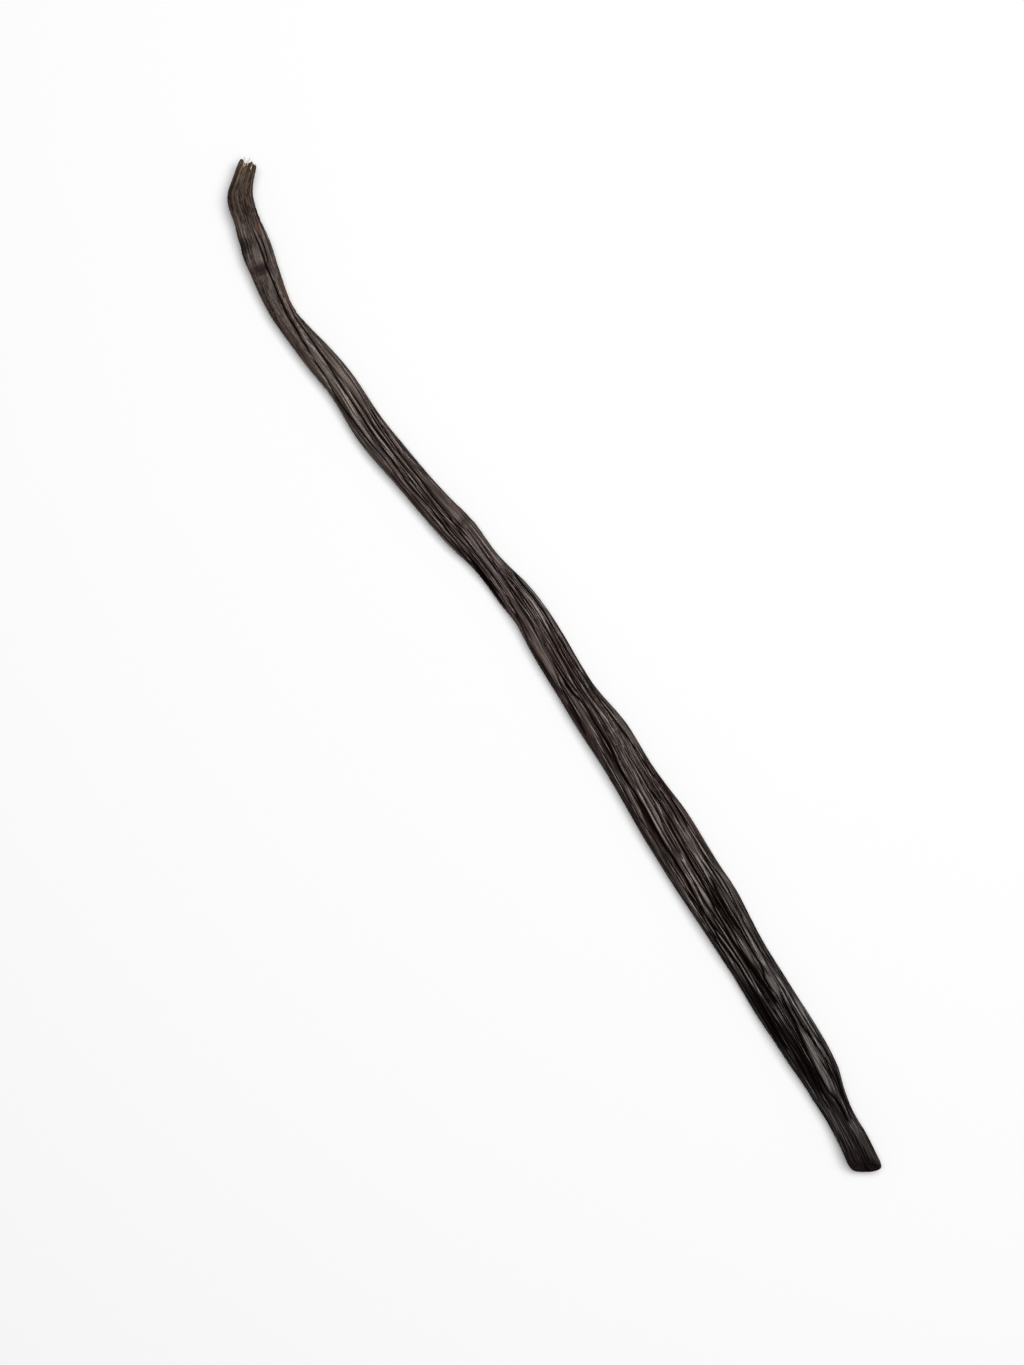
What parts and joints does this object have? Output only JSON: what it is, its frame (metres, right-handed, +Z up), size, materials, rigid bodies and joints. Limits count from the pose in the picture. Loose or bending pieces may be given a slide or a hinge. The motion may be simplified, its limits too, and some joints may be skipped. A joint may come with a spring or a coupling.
{
  "type": "vanilla pod",
  "caption": "Cured vanilla pod: long, thin, flattened and furrowed lengthwise, bent at its torn stem end, with a blunt, slightly flared blossom end.",
  "frame": {"origin": "middle of the pod's bounding box, on the flat surface that the pod lies on", "axes": "+X along the pod from the stem end to the blossom end, +Y across the pod, +Z up from the surface it lies on"},
  "size_m": [0.1812, 0.0148, 0.0045],
  "materials": {
    "pod_skin": "very dark brown dried fruit skin with an oily satin sheen, tan and fibrous at the torn stem tip"
  },
  "bodies": {
    "root": {"pod": "pod_skin"}
  },
  "joints": []
}
